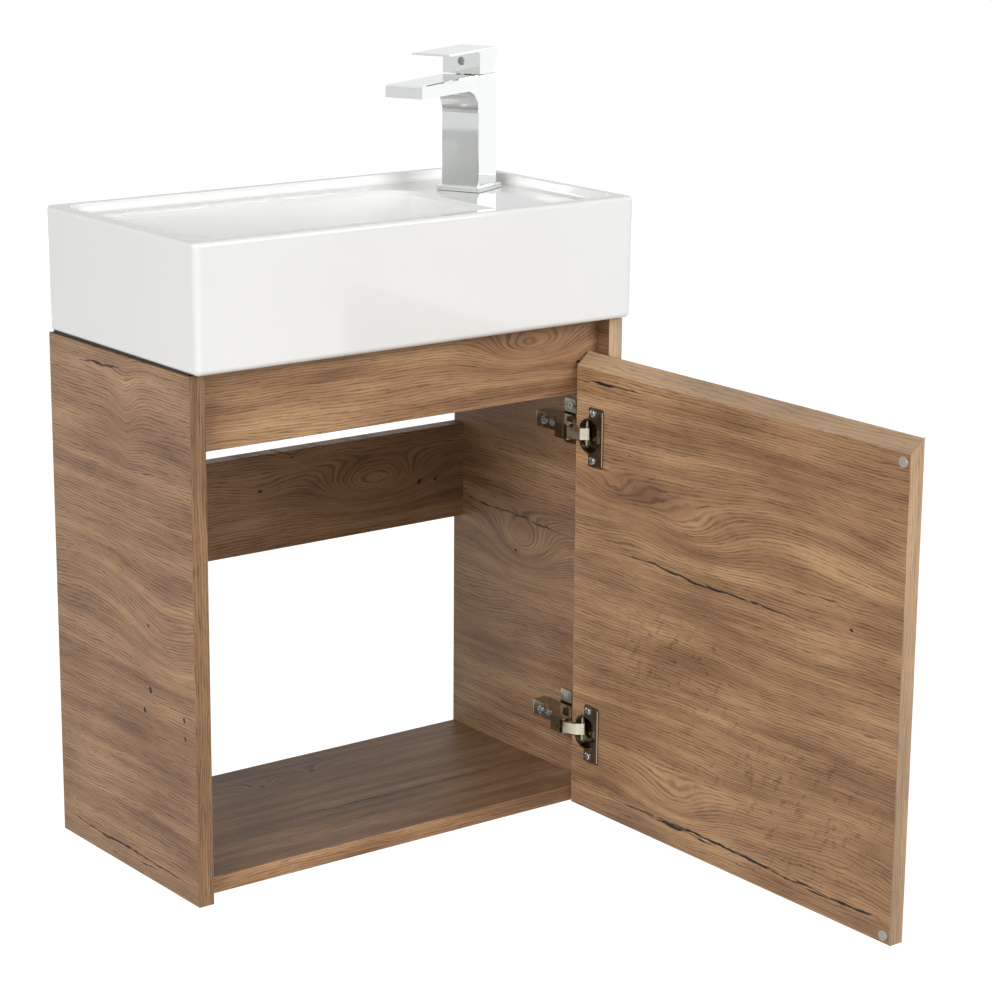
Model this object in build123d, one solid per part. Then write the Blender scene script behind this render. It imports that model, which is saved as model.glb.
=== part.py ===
"""Wall-hung vanity unit: oak-decor cabinet with one inset door, ceramic basin and mixer tap.

Millimetres. X runs along the wall, the front faces -Y, and Z is up. The origin is on the wall,
midway between the two wall screws. The door is drawn open, as it stands in the photograph.
"""
import os
from math import atan2, cos, degrees, hypot, radians, sin

from build123d import *

# Carcass boards
CAB_W = 497.0            # width over the two side panels
CAB_D = 257.0            # depth from the wall to the front edges
CAB_H = 503.0            # height of the side panels
BOARD = 16.0             # board thickness of the carcass
BAND = 1.0               # thickness of the glued edge bands
ARRIS = 0.8              # rounding along the banded edges
FRONT_RAIL_H = 75.0
REAR_RAIL_H = 101.0
REAR_RAIL_DROP = 149.5   # from the top of the sides to the top of the rear rail
BOTTOM_RAISE = 1.5       # underside of the bottom panel above the feet of the sides
DOWEL_R = 4.0
DOWEL_L = 30.0
DOWEL_IN_SIDE = 11.0     # length of a dowel inside the side panel
DOWEL_FIT = 0.05         # radial play of a dowel in its hole

# Door
DOOR_T = 16.0
DOOR_GAP = 2.0           # side gap between the door and each side panel
DOOR_BACK_GAP = 2.8      # between the closed door and the rail behind it
DOOR_TOP_DROP = 32.0     # outer face's top edge below the top of the sides
BEVEL_DROP = 13.5        # how far the finger bevel falls towards the inner face
DOOR_OPEN = 90.0         # how far the door stands open, in degrees
BUMPER_R = 5.2
BUMPER_T = 2.6
BUMPER_IN = 8.0          # bumper centre from the door's free edge
BUMPER_DOWN = 8.0        # bumper centre from the top and bottom of the inner face

# Concealed hinges: distances from the side panel's inner face, the cabinet's front, or the door
HINGE_TOP_DROP = 113.2   # upper hinge below the top of the sides
HINGE_FOOT_RISE = 82.3   # lower hinge above the foot of the sides
ARM_PIVOT_OUT = 31.3     # arm pin from the side panel's inner face
ARM_PIVOT_IN = 24.1      # arm pin behind the cabinet's front edge
CUP_PIVOT_IN = 11.6      # cup pin from the door's hinge edge
CUP_PIVOT_DEEP = 4.4     # cup pin below the door's inner face
LINK_RATIO = -0.378      # turn of the link for one turn of the door
PIN_R = 1.5
PIN_FIT = 0.3            # radial play of a link on its pins
SHEET = 1.2              # thickness of the stamped links and the cup flange
CUP_R = 17.4
CUP_FIT = 0.1            # radial play of the cup in its bore
CUP_DEPTH = 11.5
CUP_CENTRE_IN = 22.5     # cup axis from the door's hinge edge
CUP_SCREW_IN = 27.0      # flange screws from the door's hinge edge
CUP_SCREW_PITCH = 48.0
FLANGE_IN = 43.2         # far edge of the flange from the door's hinge edge
FLANGE_W = 22.3
FLANGE_H = 60.0
LIP_H = 2.4              # rolled edge along the flange's far side
LINK_HALF = 6.1          # half the link's height
LINK_EDGE_R = 0.7
ARM_WALL = 1.5
ARM_REAR_IN = 91.0       # rear end of the arm behind the front edge
ARM_LOW = 20.0           # arm's outer face from the side panel, at its rear
ARM_HIGH = 36.0          # the same at its cranked front
PLATE_SCREW_IN = 58.0    # plate screws behind the front edge
PLATE_SCREW_PITCH = 32.0
PLATE_T = 2.0
WING_W = 18.0
WING_H = 46.0
ADJUST_IN = (77.0, 63.5)

# Basin
BASIN_W = 500.0
BASIN_D = 271.0
BASIN_H = 120.0
BASIN_DRAFT = 1.1        # the foot is smaller than the rim by this much all round
BASIN_EDGE_R = 6.0       # upright corners
BASIN_RIM_R = 4.0        # top outer edge
BASIN_FOOT_R = 5.5
BEAD_T = 2.0             # silicone bed between the sides and the basin
RIM_W = 13.0
DECK_DROP = 9.8          # deck and rear ledge below the rim
DECK_T = 11.0
BOWL_W = 364.0
BOWL_D = 210.0
BOWL_DEPTH = 84.0        # floor below the deck
BOWL_TAPER = 5.0         # lean of the bowl's walls, in degrees
BOWL_CORNER_R = 34.0
BOWL_FLOOR_R = 20.0
BOWL_LIP = 3.5           # height of the eased edge between the deck and the bowl
RECESS_R = 16.0          # corners of the deck recess
BOWL_WALL = 11.0
FLOOR_FALL = 4.0         # fall of the floor towards the waste
TAP_HOLE_R = 17.5
TAP_OFF = 2.3            # tap axis left of the middle of the deck beside the bowl
TAP_FROM_WALL = 87.0

# Waste, a push-button type with a G 1 1/4 tail
WASTE_HOLE_R = 22.5
WASTE_TAIL_R = 20.95
WASTE_TAIL_L = 40.0      # free tail below the back nut
WASTE_CORE_R = 20.2      # inside the back nut and the gaskets
WASTE_BORE_R = 17.5
WASTE_FLANGE_R = 32.0
WASTE_FLANGE_T = 2.5
WASTE_PLUG_R = 29.0
WASTE_PLUG_LIFT = 8.0    # plug's underside above the flange, drawn open
WASTE_PLUG_T = 4.0
WASTE_STEM_R = 4.0
WASTE_GUIDE_R = 4.4
GASKET_T = 2.0

# Tap: heights are above the deck
TAP_TURN = 206.0         # heading of the spout, in degrees from +X
TAP_BASE = 48.4
TAP_BASE_T = 4.5
TAP_GASKET_T = 0.5
TAP_BODY_L = 38.8        # along the spout
TAP_BODY_W = 42.1
TAP_BODY_TOP = 116.5
SPOUT_REACH = 117.2      # from the body's front face to the tip
SPOUT_TIP_T = 12.3
SPOUT_ROOT_T = 14.5
SPOUT_TIP_W = 40.0
SPOUT_FILLET = 24.0
BODY_REAR_R = 3.0        # top rear edge of the body
HANDLE_GAP = 0.8         # between the body's top and the handle block
HANDLE_W = 41.6
HANDLE_TOP = 139.6
HANDLE_FRONT = 17.4      # block's front face from the tap axis
HANDLE_REAR = 19.6
LEVER_T = 2.4
LEVER_TIP = 82.1
LIFT_X = -8.0            # lift axis behind the tap axis
LIFT_H = 122.0           # lift axis above the deck
CARTRIDGE_R = 13.5
CARTRIDGE_L = 34.0
CARTRIDGE_FIT = 0.2
SPINDLE_R = 9.0
INLET_R = 5.0            # bore of the two M10 x 1 inlets
INLET_PITCH = 14.0
INLET_BACK = 5.0         # inlets behind the tap axis
INLET_L = 27.0
SHANK_R = 16.0
SHANK_L = 9.0
STUD_R = 4.0
STUD_X = 10.5            # stud in front of the tap axis
STUD_L = 58.0
AERATOR_R = 11.0
AERATOR_IN = 17.0        # aerator centre from the spout's tip

# Wall hangers: two keyhole plates let into the back of the rear rail
HANGER_IN = 42.5         # seat of each wall screw from the rail's end
HANGER_W = 22.0
HANGER_H = 60.0
HANGER_T = 2.0
HANGER_HOLE_R = 3.0      # seat of the wall screw
HANGER_NECK = 2.1        # half width of the neck that a 4 mm screw rides through
HANGER_ENTRY_R = 6.0
HANGER_ENTRY_DROP = 12.0
HANGER_POCKET = 8.0
SMALL_SCREW_R = 1.6

# Places that follow from the sizes above
TOP_Z = REAR_RAIL_DROP + REAR_RAIL_H / 2
FOOT_Z = TOP_Z - CAB_H
FRONT_Y = -CAB_D
SIDE_X = CAB_W / 2
INNER_X = SIDE_X - BOARD
RAIL_Y = FRONT_Y + DOOR_T + DOOR_BACK_GAP
BOTTOM_Z = FOOT_Z + BOTTOM_RAISE
DOOR_W = 2 * INNER_X - 2 * DOOR_GAP
DOOR_TOP = TOP_Z - DOOR_TOP_DROP
DOOR_EDGE_X = INNER_X - DOOR_GAP
DOOR_INNER_Y = FRONT_Y + DOOR_T
HINGE_ZS = {"upper": TOP_Z - HINGE_TOP_DROP, "lower": FOOT_Z + HINGE_FOOT_RISE}

BASIN_Z = TOP_Z + BEAD_T
RIM_Z = BASIN_Z + BASIN_H
DECK_Z = RIM_Z - DECK_DROP
BASIN_X0 = -BASIN_W / 2
BASIN_Y0 = -BASIN_D
BOWL_X = BASIN_X0 + RIM_W + BOWL_W / 2
BOWL_Y = BASIN_Y0 + RIM_W + BOWL_D / 2
FLOOR_Z = DECK_Z - BOWL_DEPTH
WASTE_Z = FLOOR_Z - FLOOR_FALL
TAP_X = (BOWL_X + BOWL_W / 2 + BOWL_WALL - BASIN_X0 - RIM_W) / 2 - TAP_OFF
TAP_Y = -TAP_FROM_WALL
INSIDE = (BASIN_X0 + RIM_W, -BASIN_X0 - RIM_W, BASIN_Y0 + RIM_W, -RIM_W)


def block(x0, x1, y0, y1, z0, z1):
    """Box between two corners."""
    return Pos((x0 + x1) / 2, (y0 + y1) / 2, (z0 + z1) / 2) * Box(x1 - x0, y1 - y0, z1 - z0)


def rod(x, y, z0, z1, r):
    """Upright round bar."""
    return Pos(x, y, (z0 + z1) / 2) * Cylinder(r, z1 - z0)


def rod_x(x0, x1, y, z, r):
    """Round bar along X."""
    return Pos((x0 + x1) / 2, y, z) * Rot(0, 90, 0) * Cylinder(r, x1 - x0)


def rod_y(x, y0, y1, z, r):
    """Round bar along Y."""
    return Pos(x, (y0 + y1) / 2, z) * Rot(90, 0, 0) * Cylinder(r, y1 - y0)


def slab(outline, z0, z1):
    """Plan outline, a list of XY points, made into an upright slab."""
    return extrude(Pos(0, 0, z0) * Polygon(*outline, align=None), amount=z1 - z0)


def round_long_edges(shape, axis, r, keep):
    """Fillet the edges that run along an axis and whose centre passes the test."""
    return fillet([e for e in shape.edges().filter_by(axis) if keep(e.center())], r)


# Carcass: a dowel joins a side panel to the end of a board, half its length in each.

def dowel_places():
    """Y and Z of the six dowels in each side."""
    rail_mid = RAIL_Y + BOARD / 2
    rear_mid = -BOARD / 2
    bottom_mid = BOTTOM_Z + BOARD / 2
    return [(rail_mid, TOP_Z - 20), (rail_mid, TOP_Z - FRONT_RAIL_H + 20),
            (rear_mid, REAR_RAIL_H / 2 - 25), (rear_mid, 25 - REAR_RAIL_H / 2),
            (RAIL_Y + 40, bottom_mid), (-40, bottom_mid)]


def dowels(side, play=0.0):
    """The dowels of one side, or their holes when play is given."""
    x0, x1 = sorted((side * (INNER_X + DOWEL_IN_SIDE), side * (INNER_X + DOWEL_IN_SIDE - DOWEL_L)))
    return Part() + [rod_x(x0 - play, x1 + play, y, z, DOWEL_R + play) for y, z in dowel_places()]


def side_panel(side):
    """One side, with its dowel holes. Its front edge band is a piece of its own."""
    x0, x1 = sorted((side * INNER_X, side * SIDE_X))
    panel = block(x0, x1, FRONT_Y + BAND, 0, FOOT_Z, TOP_Z)
    panel = round_long_edges(panel, Axis.Z, ARRIS, lambda c: c.Y > -1 and abs(c.X) > INNER_X + 1)
    panel -= dowels(side, DOWEL_FIT)
    if side > 0:
        for z in HINGE_ZS.values():
            panel -= plate_screw_holes(z)
    return panel


def side_band(side):
    """Edge band on the front edge of one side."""
    x0, x1 = sorted((side * INNER_X, side * SIDE_X))
    band = block(x0, x1, FRONT_Y, FRONT_Y + BAND, FOOT_Z, TOP_Z)
    return round_long_edges(band, Axis.Z, ARRIS, lambda c: c.Y < FRONT_Y + 0.1)


def bottom_panel():
    """Floor of the cabinet, doweled between the sides."""
    panel = block(-INNER_X, INNER_X, RAIL_Y + BAND, 0, BOTTOM_Z, BOTTOM_Z + BOARD)
    return panel - dowels(-1, DOWEL_FIT) - dowels(1, DOWEL_FIT)


def bottom_band():
    """Edge band on the front of the floor."""
    band = block(-INNER_X, INNER_X, RAIL_Y, RAIL_Y + BAND, BOTTOM_Z, BOTTOM_Z + BOARD)
    return round_long_edges(band, Axis.X, ARRIS, lambda c: c.Y < RAIL_Y + 0.1)


def front_rail():
    """Upright rail under the basin that the closed door stands in front of."""
    z0 = TOP_Z - FRONT_RAIL_H + BAND
    rail = block(-INNER_X, INNER_X, RAIL_Y, RAIL_Y + BOARD, z0, TOP_Z)
    return rail - dowels(-1, DOWEL_FIT) - dowels(1, DOWEL_FIT)


def front_rail_band():
    """Edge band on the lower edge of the front rail."""
    z0 = TOP_Z - FRONT_RAIL_H
    band = block(-INNER_X, INNER_X, RAIL_Y, RAIL_Y + BOARD, z0, z0 + BAND)
    return round_long_edges(band, Axis.X, ARRIS, lambda c: c.Z < z0 + 0.1)


def rear_rail():
    """Hanging rail at the wall, pocketed behind each hanger plate for the screw's head."""
    rail = block(-INNER_X, INNER_X, -BOARD, 0, -REAR_RAIL_H / 2, REAR_RAIL_H / 2)
    rail -= dowels(-1, DOWEL_FIT) + dowels(1, DOWEL_FIT)
    for x in hanger_xs():
        rail -= block(x - HANGER_W / 2, x + HANGER_W / 2, -HANGER_T, 0, -HANGER_H / 2, HANGER_H / 2)
        low = -HANGER_ENTRY_DROP - HANGER_ENTRY_R - 1
        high = HANGER_ENTRY_R + 1
        rail -= block(x - 7, x + 7, -HANGER_T - HANGER_POCKET, -HANGER_T, low, high)
        rail -= hanger_screws(x, 0.1)
    return rail


def hanger_xs():
    return (HANGER_IN - INNER_X, INNER_X - HANGER_IN)


def hanger_plate(x):
    """Steel plate with a keyhole: the screw enters below and rides up into the round seat."""
    plate = block(x - HANGER_W / 2, x + HANGER_W / 2, -HANGER_T, 0, -HANGER_H / 2, HANGER_H / 2)
    plate = round_long_edges(plate, Axis.Y, 3, lambda c: True)
    plate -= rod_y(x, -3, 1, 0, HANGER_HOLE_R)
    plate -= rod_y(x, -3, 1, -HANGER_ENTRY_DROP, HANGER_ENTRY_R)
    plate -= block(x - HANGER_NECK, x + HANGER_NECK, -3, 1, -HANGER_ENTRY_DROP, 0)
    return plate - hanger_screws(x, 0.05)


def hanger_screws(x, play=0.0):
    """Two countersunk screws that hold a hanger plate."""
    screws = []
    for z in (-HANGER_H / 2 + 7, HANGER_H / 2 - 7):
        head = Pos(x, -HANGER_T / 2, z) * Rot(90, 0, 0) * Cone(3.2 + play, SMALL_SCREW_R + play, HANGER_T)
        screws.append(head + rod_y(x, -13 - play, -HANGER_T, z, SMALL_SCREW_R + play))
    return Part() + screws


# Door: drawn shut, then swung open on its hinges by open_door().

def turn(point, centre, angle):
    """A plan point turned about a centre, in degrees."""
    a = radians(angle)
    dx, dy = point[0] - centre[0], point[1] - centre[1]
    return (centre[0] + dx * cos(a) - dy * sin(a), centre[1] + dx * sin(a) + dy * cos(a))


ARM_PIVOT = (INNER_X - ARM_PIVOT_OUT, FRONT_Y + ARM_PIVOT_IN)
CUP_PIVOT_SHUT = (DOOR_EDGE_X - CUP_PIVOT_IN, DOOR_INNER_Y - CUP_PIVOT_DEEP)
CUP_PIVOT = turn(CUP_PIVOT_SHUT, ARM_PIVOT, LINK_RATIO * DOOR_OPEN)


def open_door(shape):
    """Carry a piece from the shut door to the open one: the link swings the cup pin, and the
    door turns about that pin."""
    shut = Pos(-CUP_PIVOT_SHUT[0], -CUP_PIVOT_SHUT[1], 0)
    return Pos(CUP_PIVOT[0], CUP_PIVOT[1], 0) * Rot(0, 0, DOOR_OPEN) * shut * shape


def door_profile(x0, x1):
    """Door section, square below and bevelled above as a finger grip, drawn along X."""
    low, high = DOOR_TOP - BEVEL_DROP, DOOR_TOP
    face = Plane.YZ * Polygon((FRONT_Y, BOTTOM_Z), (DOOR_INNER_Y, BOTTOM_Z), (DOOR_INNER_Y, low),
                              (FRONT_Y, high), align=None)
    return Pos(x0, 0, 0) * extrude(face, amount=x1 - x0)


def door_panel():
    """Door board inside its three edge bands, bored for the hinge cups."""
    x0, x1 = DOOR_EDGE_X - DOOR_W + BAND, DOOR_EDGE_X - BAND
    panel = door_profile(x0, x1)
    panel = round_long_edges(panel, Axis.X, ARRIS, lambda c: c.Z > DOOR_TOP - BEVEL_DROP - 1)
    panel -= block(x0, x1, FRONT_Y, DOOR_INNER_Y, BOTTOM_Z, BOTTOM_Z + BAND)
    for z in HINGE_ZS.values():
        x = DOOR_EDGE_X - CUP_CENTRE_IN
        panel -= rod_y(x, DOOR_INNER_Y - CUP_DEPTH - 0.3, DOOR_INNER_Y, z, CUP_R + CUP_FIT)
        panel -= cup_screw_shanks(z, 0.1)
    return panel


def door_end_band(x0, x1, outer_x):
    """Upright edge band of the door, cut to the door's profile."""
    band = door_profile(x0, x1)
    return round_long_edges(band, Axis.Z, ARRIS, lambda c: abs(c.X - outer_x) < 0.1)


def door_bottom_band():
    x0, x1 = DOOR_EDGE_X - DOOR_W + BAND, DOOR_EDGE_X - BAND
    band = block(x0, x1, FRONT_Y, DOOR_INNER_Y, BOTTOM_Z, BOTTOM_Z + BAND)
    return round_long_edges(band, Axis.X, ARRIS, lambda c: c.Z < BOTTOM_Z + 0.1)


def door_bumpers():
    """Two clear buffers that meet the front rail and the edge of the floor."""
    x = DOOR_EDGE_X - DOOR_W + BUMPER_IN
    pads = []
    for z in (DOOR_TOP - BEVEL_DROP - BUMPER_DOWN, BOTTOM_Z + BUMPER_DOWN):
        pad = rod_y(x, DOOR_INNER_Y, DOOR_INNER_Y + BUMPER_T, z, BUMPER_R)
        pads.append(fillet(pad.faces().sort_by(Axis.Y)[-1].edges(), 1.2))
    return Part() + pads


# Concealed hinges. Arm pieces are drawn in place; cup pieces are drawn on the shut door.

def at_side(out, back):
    """Plan point out from the side panel's inner face and back from the cabinet's front."""
    return (INNER_X - out, FRONT_Y + back)


def hinge_plate(z):
    """Mounting plate: two screwed wings and the raised rail that the arm clips over."""
    y = FRONT_Y + PLATE_SCREW_IN
    x1 = INNER_X
    wings = block(x1 - PLATE_T, x1, y - WING_W / 2, y + WING_W / 2, z - WING_H / 2, z + WING_H / 2)
    wings = round_long_edges(wings, Axis.X, 3, lambda c: True)
    half = LINK_HALF - 0.1
    rail = block(x1 - ARM_LOW + ARM_WALL + 1, x1, FRONT_Y + 51, FRONT_Y + ARM_REAR_IN - 3, z - half, z + half)
    plate = wings + rail
    return plate - plate_screws(z, 0.1) - adjusters(z, 0.1)


def plate_screws(z, play=0.0):
    """Countersunk screws through the wings into the side panel."""
    y = FRONT_Y + PLATE_SCREW_IN
    screws = []
    for dz in (-PLATE_SCREW_PITCH / 2, PLATE_SCREW_PITCH / 2):
        head = Pos(INNER_X - PLATE_T / 2, y, z + dz) * Rot(0, 90, 0)
        head *= Cone(3.6 + play, 1.9 + play, PLATE_T)
        screw = head + rod_x(INNER_X - 0.1, INNER_X + 11.5 + play, y, z + dz, 1.9 + play)
        if play == 0:
            screw -= cross_slot(Pos(INNER_X - PLATE_T, y, z + dz) * Rot(0, 90, 0))
        screws.append(screw)
    return Part() + screws


def plate_screw_holes(z):
    y = FRONT_Y + PLATE_SCREW_IN
    return Part() + [rod_x(INNER_X - 1, INNER_X + 12, y, z + dz, 2.0)
                     for dz in (-PLATE_SCREW_PITCH / 2, PLATE_SCREW_PITCH / 2)]


def cross_slot(place):
    """Cross recess in a screw head."""
    return place * (Box(3.8, 0.9, 1.6) + Box(0.9, 3.8, 1.6))


def arm_outline(shrink=0.0):
    """Cranked side view of the arm, from its rear end to the nose that holds the arm pin."""
    return [at_side(6, ARM_REAR_IN - shrink), at_side(ARM_LOW - shrink, ARM_REAR_IN - shrink),
            at_side(ARM_LOW - shrink, 58), at_side(ARM_HIGH - shrink, 40),
            at_side(ARM_HIGH - shrink, 21), at_side(ARM_HIGH - 3 - shrink, 20),
            at_side(ARM_PIVOT_OUT - 4.5, 20), at_side(ARM_PIVOT_OUT - 4.5, 33),
            at_side(13, 49), at_side(6, 49)]


def hinge_arm(z):
    """Channel-shaped arm, open towards the side panel and at its nose."""
    half = LINK_HALF + PIN_FIT + ARM_WALL
    arm = slab(arm_outline(), z - half, z + half)
    arm = fillet(arm.edges().filter_by(Axis.Z).sort_by(Axis.Y)[-2:], 2)
    hollow = [at_side(-1, ARM_REAR_IN - ARM_WALL), at_side(ARM_LOW - ARM_WALL, ARM_REAR_IN - ARM_WALL),
              at_side(ARM_LOW - ARM_WALL, 57.3), at_side(ARM_HIGH - ARM_WALL, 39.3),
              at_side(ARM_HIGH - ARM_WALL, 27.5), at_side(ARM_HIGH + 1, 27.5),
              at_side(ARM_HIGH + 1, 10), at_side(-1, 10)]
    arm -= slab(hollow, z - half + ARM_WALL, z + half - ARM_WALL)
    x, y = ARM_PIVOT
    return arm - rod(x, y, z - half - 1, z + half + 1, PIN_R) - adjusters(z, 0.1)


def adjusters(z, play=0.0):
    """Fixing screw and depth screw through the arm's outer face into the plate's rail."""
    screws = []
    for back, head_r in zip(ADJUST_IN, (4.2, 3.6)):
        x = INNER_X - ARM_LOW
        y = FRONT_Y + back
        shank = rod_x(x - 0.1, x + 10 + play, y, z, 2.4 + play)
        if play == 0:
            head = rod_x(x - 1.2, x, y, z, head_r)
            shank = shank + head - cross_slot(Pos(x - 1.2, y, z) * Rot(0, 90, 0))
        screws.append(shank)
    return Part() + screws


def arm_pins():
    """A riveted pin through the nose of each arm."""
    half = LINK_HALF + PIN_FIT + ARM_WALL
    return Part() + [rod(*ARM_PIVOT, z - half, z + half, PIN_R) for z in HINGE_ZS.values()]


def from_arm_pin(dx, dy):
    return (ARM_PIVOT[0] + dx, ARM_PIVOT[1] + dy)


def lies_on(path, point):
    """Whether a point is midway along one stretch of a plan path."""
    middles = [((a[0] + b[0]) / 2, (a[1] + b[1]) / 2) for a, b in zip(path, path[1:])]
    return any(hypot(point.X - x, point.Y - y) < 0.01 for x, y in middles)


def hinge_link(z):
    """Pressed link, a channel with two ears: its bright web arches over the door's edge from
    the arm pin and dips into the cup. It is drawn at the angle of the open door."""
    outer = [from_arm_pin(-5.6, -4.8), from_arm_pin(0.5, -17.8), from_arm_pin(7.4, -23.2)]
    inner = [from_arm_pin(9.3, -18.3), from_arm_pin(1.1, -14.5), from_arm_pin(1.6, -3.0),
             from_arm_pin(0.8, 2.4), from_arm_pin(-1.5, 2.2)]
    link = slab(outer + inner, z - LINK_HALF, z + LINK_HALF)
    link = fillet([e for e in link.edges() if lies_on(outer, e.center())], LINK_EDGE_R)
    for x, y in (ARM_PIVOT, CUP_PIVOT):
        link += rod(x, y, z - LINK_HALF, z + LINK_HALF, 2.6)
    behind_web = [from_arm_pin(-5.8, -1.6), from_arm_pin(1.5, -17.05), from_arm_pin(9.3, -23.2),
                  from_arm_pin(16, -16), from_arm_pin(8, 6), from_arm_pin(-6, 6)]
    half = LINK_HALF - SHEET
    link -= slab(behind_web, z - half, z + half)
    for x, y in (ARM_PIVOT, CUP_PIVOT):
        link -= rod(x, y, z - LINK_HALF - 1, z + LINK_HALF + 1, PIN_R + PIN_FIT)
    return link


def hinge_cup(z):
    """Drawn cup with its flange, drawn on the shut door."""
    x = DOOR_EDGE_X - CUP_CENTRE_IN
    y = DOOR_INNER_Y
    far = DOOR_EDGE_X - FLANGE_IN
    flange = block(far, far + FLANGE_W, y, y + SHEET, z - FLANGE_H / 2, z + FLANGE_H / 2)
    flange = round_long_edges(flange, Axis.Y, 2.5, lambda c: True)
    lip = block(far, far + 2.2, y, y + LIP_H, z - FLANGE_H / 2 + 2.5, z + FLANGE_H / 2 - 2.5)
    lip = round_long_edges(lip, Axis.Z, 0.9, lambda c: c.Y > y + 1)
    cup = flange + lip + rod_y(x, y, y + SHEET, z, CUP_R + 0.8)
    cup += rod_y(x, y - CUP_DEPTH, y, z, CUP_R)
    cup -= rod_y(x, y - CUP_DEPTH + 0.9, y + 3, z, CUP_R - 1.0)
    mouth = LINK_HALF + 1.0
    cup -= block(x + 10, x + CUP_R + 2, y - 5.5, y + 3, z - mouth, z + mouth)
    px, py = CUP_PIVOT_SHUT
    cup -= rod(px, py, z - CUP_R, z + CUP_R, PIN_R)
    return cup - cup_screws(z, 0.1)


def cup_pin_half():
    """Half length of the cup pin: it ends inside the cup's wall."""
    off = CUP_CENTRE_IN - CUP_PIVOT_IN
    return ((CUP_R - 0.3) ** 2 - off ** 2) ** 0.5 - PIN_R


def cup_pins():
    half = cup_pin_half()
    return Part() + [rod(*CUP_PIVOT_SHUT, z - half, z + half, PIN_R) for z in HINGE_ZS.values()]


def cup_screw_zs(z):
    return (z - CUP_SCREW_PITCH / 2, z + CUP_SCREW_PITCH / 2)


def cup_screw_shanks(z, play=0.0):
    x = DOOR_EDGE_X - CUP_SCREW_IN
    return Part() + [rod_y(x, DOOR_INNER_Y - 11 - play, DOOR_INNER_Y + 0.1, dz, 1.7 + play)
                     for dz in cup_screw_zs(z)]


def cup_screws(z, play=0.0):
    """Two round-headed screws that hold the cup's flange."""
    x = DOOR_EDGE_X - CUP_SCREW_IN
    y = DOOR_INNER_Y + SHEET
    screws = []
    for sz in cup_screw_zs(z):
        screw = rod_y(x, DOOR_INNER_Y - 11 - play, y, sz, 1.7 + play)
        if play == 0:
            head = rod_y(x, y, y + 1.6, sz, 3.7)
            head = fillet(head.faces().sort_by(Axis.Y)[-1].edges(), 1.0)
            screw = screw + head - cross_slot(Pos(x, y + 1.6, sz) * Rot(90, 0, 0))
        screws.append(screw)
    return Part() + screws


# Basin: one slip-cast shell, open underneath around the bowl.

def plan(x0, x1, y0, y1, z, r):
    """Rounded rectangle at a height."""
    return Pos((x0 + x1) / 2, (y0 + y1) / 2, z) * RectangleRounded(x1 - x0, y1 - y0, r)


def basin_outside():
    """Outer block with its draft and rounded edges."""
    d = BASIN_DRAFT
    foot = plan(BASIN_X0 + d, -BASIN_X0 - d, BASIN_Y0 + d, -d, BASIN_Z, BASIN_EDGE_R)
    body = extrude(foot, amount=BASIN_H, taper=-degrees(atan2(d, BASIN_H)))
    body = fillet(body.faces().sort_by(Axis.Z)[-1].edges(), BASIN_RIM_R)
    return fillet(body.faces().sort_by(Axis.Z)[0].edges(), BASIN_FOOT_R)


def bowl_plan(grow, z):
    return plan(BOWL_X - BOWL_W / 2 - grow, BOWL_X + BOWL_W / 2 + grow, BOWL_Y - BOWL_D / 2 - grow,
                BOWL_Y + BOWL_D / 2 + grow, z, BOWL_CORNER_R + grow)


def bowl_space(grow):
    """Space inside the bowl, or its outer skin when grown by the wall."""
    space = extrude(bowl_plan(grow, DECK_Z), amount=-BOWL_DEPTH - grow * 0.9, taper=BOWL_TAPER)
    return fillet(space.faces().sort_by(Axis.Z)[0].edges(), BOWL_FLOOR_R + grow)


def basin_inside():
    """Deck recess, bowl, eased edge and the floor's fall to the waste, as one space."""
    recess = extrude(plan(*INSIDE, DECK_Z, RECESS_R), amount=DECK_DROP + 1)
    recess = fillet(recess.faces().sort_by(Axis.Z)[0].edges(), 4.0)
    mouth = extrude(bowl_plan(0, DECK_Z), amount=DECK_DROP + 1)
    eased = extrude(bowl_plan(0, DECK_Z - BOWL_LIP), amount=BOWL_LIP, taper=-32)
    eased &= extrude(plan(*INSIDE, DECK_Z - BOWL_LIP, RECESS_R), amount=BOWL_LIP)
    fall = Pos(BOWL_X, BOWL_Y, FLOOR_Z - FLOOR_FALL / 2) * Cone(WASTE_FLANGE_R + 2, 70, FLOOR_FALL)
    return recess + mouth + bowl_space(0) + eased + fall


def basin_underside():
    """Hollow under the deck, around the bowl's outer skin."""
    roof = DECK_Z - DECK_T
    hollow = extrude(plan(*INSIDE, BASIN_Z - 1, BASIN_EDGE_R), amount=roof - BASIN_Z + 1)
    return hollow - bowl_space(BOWL_WALL)


def basin():
    """Shell with its holes for the waste and the tap."""
    shell = basin_outside() - basin_inside() - basin_underside()
    shell -= rod(BOWL_X, BOWL_Y, BASIN_Z - 1, DECK_Z, WASTE_HOLE_R)
    return shell - rod(TAP_X, TAP_Y, BASIN_Z - 1, DECK_Z + 1, TAP_HOLE_R)


def basin_bead(side):
    """Silicone bed along the top of one side, set back from its edges."""
    x0, x1 = sorted((side * (SIDE_X - 3), side * (SIDE_X - 9)))
    return block(x0, x1, FRONT_Y + 6, -4, TOP_Z, BASIN_Z)


# Waste

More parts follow.
